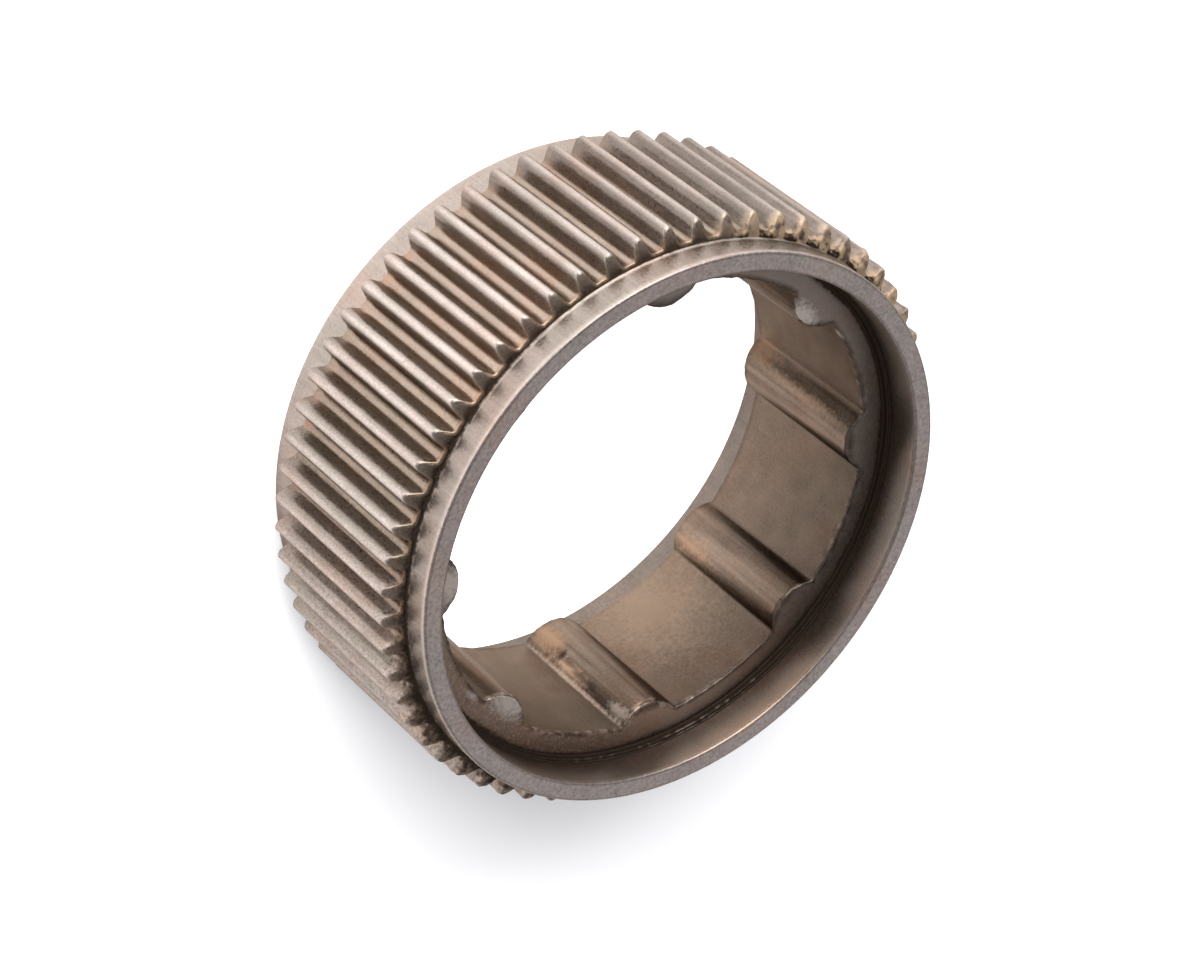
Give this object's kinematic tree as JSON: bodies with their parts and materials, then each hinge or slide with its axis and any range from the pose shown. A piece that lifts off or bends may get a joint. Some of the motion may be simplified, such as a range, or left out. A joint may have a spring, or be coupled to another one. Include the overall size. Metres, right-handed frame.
{
  "type": "differential ring gear",
  "caption": "Toothed ring of a differential: straight outer teeth between plain collars, a counterbore in each face and a through bore with half-round drive ribs.",
  "frame": {"origin": "centre of the back face, where the ring stands on its end", "axes": "+Z along the ring's axis towards the front face with the stepped counterbore, +X through the middle of a rib"},
  "size_m": [0.062, 0.062, 0.026],
  "materials": {
    "sintered_steel": "sintered and tumbled, brown oxide tint, satin"
  },
  "bodies": {
    "root": {"ring_gear": "sintered_steel"}
  },
  "joints": []
}
